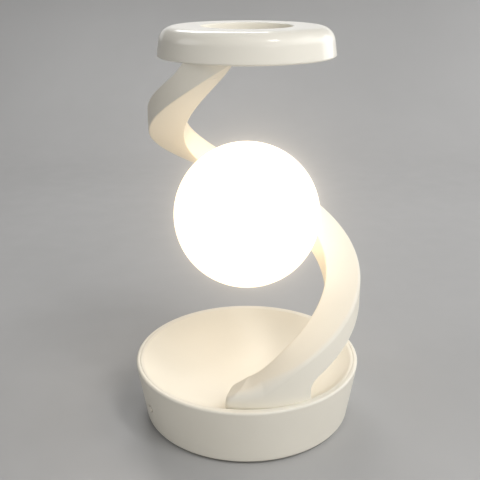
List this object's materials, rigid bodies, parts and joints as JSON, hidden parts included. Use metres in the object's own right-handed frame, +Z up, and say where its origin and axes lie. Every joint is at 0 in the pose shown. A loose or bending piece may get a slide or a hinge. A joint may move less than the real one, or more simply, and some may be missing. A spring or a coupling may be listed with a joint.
{
  "type": "rotating_moon_desk_lamp",
  "caption": "Ivory table lamp: a dished turntable base carries a one-turn spiral arm that holds a glowing globe in its middle and a round charging disc on top.",
  "frame": {"origin": "on the table under the middle of the lamp: the centre of the bounding box in plan, at its lowest point", "axes": "+Z up along the turntable's axis, -Y the front that faces the viewer, +X to the viewer's right, with the power inlet at the back (+Y)"},
  "size_m": [0.1284, 0.1284, 0.2195],
  "materials": {
    "ivory_gloss": "glossy moulded ivory plastic",
    "ivory_satin": "satin moulded ivory plastic",
    "cover_plastic": "fine-textured underside plastic",
    "globe_glow": "opal diffuser, lit from inside",
    "rubber_dark": "matte rubber",
    "steel": "bright steel",
    "ballast_iron": "blackened cast iron",
    "deck_plastic": "natural engineering plastic",
    "board_green": "solder-masked board",
    "component_black": "moulded component bodies",
    "inlet_metal": "plain metal",
    "brass_fitting": "turned brass",
    "coil_copper": "enamelled copper wire, flat wound",
    "led_white": "white solder mask on a metal-core board",
    "led_phosphor": "phosphor-coated light emitter",
    "wire_red": "insulated stranded wire",
    "wire_blue": "insulated stranded wire"
  },
  "bodies": {
    "base": {"base_shell": "ivory_gloss", "bottom_cover": "cover_plastic", "rubber_feet": "rubber_dark", "cover_screws": "steel", "ballast_plate": "ballast_iron", "ballast_screws": "steel", "deck": "deck_plastic", "deck_screws": "steel", "main_pcb": "board_green", "pcb_components": "component_black", "pcb_screws": "steel", "usb_c_socket": "inlet_metal", "switch_board": "board_green", "tact_switch": "component_black", "gear_motor": "inlet_metal", "motor_screws": "steel", "bearing_outer_ring": "steel", "slip_ring_stator": "deck_plastic", "motor_lead": "wire_blue", "switch_lead": "wire_blue", "slip_ring_lead": "wire_blue"},
    "button": {"power_button": "ivory_satin", "switch_plunger": "deck_plastic"},
    "pinion": {"motor_shaft": "steel", "drive_pinion": "deck_plastic"},
    "bearing_set": {"bearing_balls": "steel", "bearing_cage": "steel"},
    "turntable": {"bearing_inner_ring": "steel", "turntable_hub": "deck_plastic", "hub_screws": "steel", "hub_circlip": "steel", "turntable_gear": "deck_plastic", "slip_ring_rotor": "deck_plastic", "dish": "ivory_gloss", "arm_shell": "ivory_gloss", "arm_cover": "ivory_satin", "foot_block": "inlet_metal", "foot_screws": "steel", "arm_harness": "wire_red", "led_lead": "wire_red", "lamp_holder": "ivory_satin", "lamp_nipple": "brass_fitting", "nipple_nut": "brass_fitting", "led_board": "led_white", "led_chips": "led_phosphor", "globe": "globe_glow", "head_housing": "ivory_gloss", "head_base": "ivory_satin", "head_screws": "steel", "arm_head_screws": "steel", "charging_pad": "ivory_satin", "charging_coil": "coil_copper", "ferrite_disc": "component_black", "charger_pcb": "board_green", "charger_screws": "steel"}
  },
  "joints": [
    {"name": "turntable_spin", "type": "hinge", "parent": "base", "child": "turntable", "pos_m": [0, 0, 0.0072], "axis": [0, 0, 1], "continuous": true},
    {"name": "pinion_spin", "type": "hinge", "parent": "base", "child": "pinion", "pos_m": [0.028, 0, 0.013], "axis": [0, 0, 1], "continuous": true},
    {"name": "cage_spin", "type": "hinge", "parent": "base", "child": "bearing_set", "pos_m": [0, 0, 0.0072], "axis": [0, 0, 1], "continuous": true},
    {"name": "button_press", "type": "slide", "parent": "base", "child": "button", "axis": [0.8746, 0.4848, 0], "range_m": [0, 0.0005], "stiffness_N_per_m": 1500}
  ],
  "couplings": [
    {"joint": "pinion_spin", "follows": "turntable_spin", "ratio": -2.5},
    {"joint": "cage_spin", "follows": "turntable_spin", "ratio": 0.409}
  ]
}
